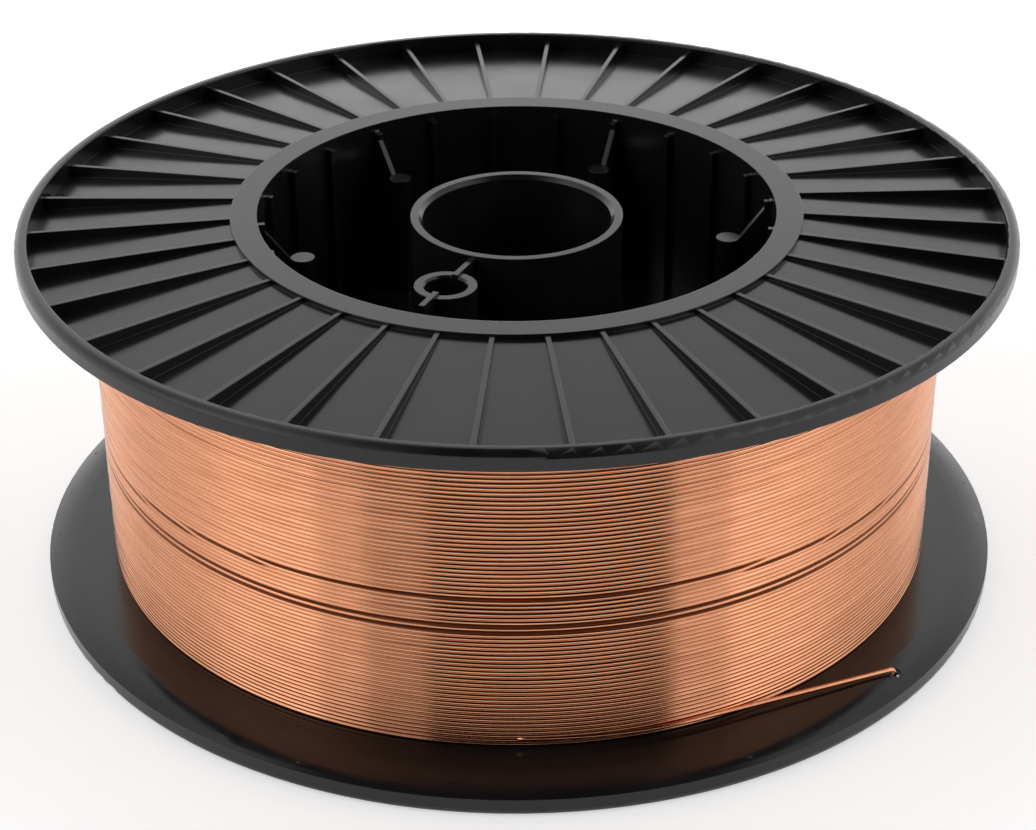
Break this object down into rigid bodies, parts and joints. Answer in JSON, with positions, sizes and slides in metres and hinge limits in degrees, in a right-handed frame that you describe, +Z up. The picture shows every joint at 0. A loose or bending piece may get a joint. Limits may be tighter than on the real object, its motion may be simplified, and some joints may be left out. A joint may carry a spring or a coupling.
{
  "type": "spool of welding wire",
  "caption": "Black plastic two-flange spool, lying flat, fully wound with copper-coated welding wire, its free end tucked into a flange hole.",
  "frame": {"origin": "on the spindle axis, in the plane of the lower flange's rim that the spool lies on", "axes": "+Z up along the spindle axis; -Y towards the side nearest the driving hole; +X to the right seen from -Y"},
  "size_m": [0.27, 0.27, 0.103],
  "materials": {
    "spool_plastic": "satin black moulded polystyrene",
    "copper_coated_wire": "copper-coated steel, bright drawn"
  },
  "bodies": {
    "root": {"upper_half": "spool_plastic", "lower_half": "spool_plastic", "wire_winding": "copper_coated_wire", "wire_end": "copper_coated_wire"}
  },
  "joints": []
}
